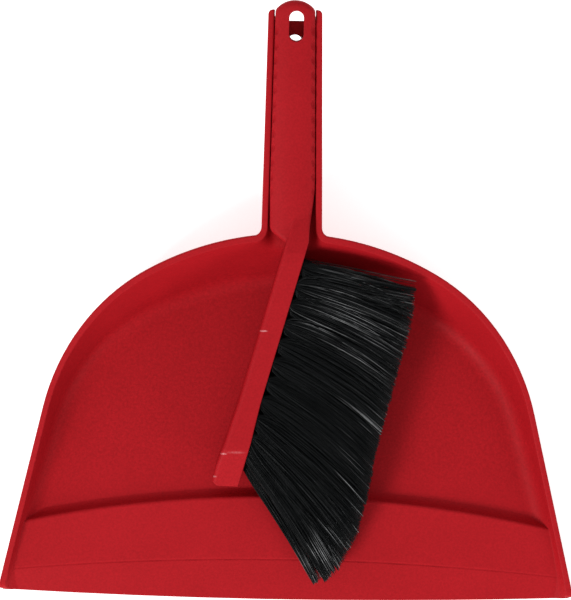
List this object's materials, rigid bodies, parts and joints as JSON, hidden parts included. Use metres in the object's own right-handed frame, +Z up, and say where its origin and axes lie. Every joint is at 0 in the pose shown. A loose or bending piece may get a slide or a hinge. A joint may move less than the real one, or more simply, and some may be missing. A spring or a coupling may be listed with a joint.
{
  "type": "dustpan with hand brush",
  "caption": "Moulded dustpan with a sloped lip and a channel-shaped handle; a hand brush with slanted bristle block lies in the channel and lifts out.",
  "frame": {"origin": "middle of the overall length and width, on the surface the pan rests on", "axes": "+X across the pan to the side the bristles point to, +Y from the lip to the handle, +Z up"},
  "size_m": [0.3144, 0.3217, 0.0668],
  "materials": {
    "red_plastic": "satin moulded",
    "bristle": "drawn filament",
    "staple_steel": "flat wire"
  },
  "bodies": {
    "pan": {"pan_body": "red_plastic"},
    "brush": {"brush_stock": "red_plastic", "tuft_staples": "staple_steel", "tuft_upper_01": "bristle", "tuft_upper_02": "bristle", "tuft_upper_03": "bristle", "tuft_upper_04": "bristle", "tuft_upper_05": "bristle", "tuft_upper_06": "bristle", "tuft_upper_07": "bristle", "tuft_upper_08": "bristle", "tuft_upper_09": "bristle", "tuft_upper_10": "bristle", "tuft_upper_11": "bristle", "tuft_middle_01": "bristle", "tuft_middle_02": "bristle", "tuft_middle_03": "bristle", "tuft_middle_04": "bristle", "tuft_middle_05": "bristle", "tuft_middle_06": "bristle", "tuft_middle_07": "bristle", "tuft_middle_08": "bristle", "tuft_middle_09": "bristle", "tuft_middle_10": "bristle", "tuft_middle_11": "bristle", "tuft_lower_01": "bristle", "tuft_lower_02": "bristle", "tuft_lower_03": "bristle", "tuft_lower_04": "bristle", "tuft_lower_05": "bristle", "tuft_lower_06": "bristle", "tuft_lower_07": "bristle", "tuft_lower_08": "bristle", "tuft_lower_09": "bristle", "tuft_lower_10": "bristle", "tuft_lower_11": "bristle"}
  },
  "joints": [
    {"name": "brush_lift", "type": "slide", "parent": "pan", "child": "brush", "axis": [0, -0.1736, 0.9848], "range_m": [0, 0.12]}
  ]
}
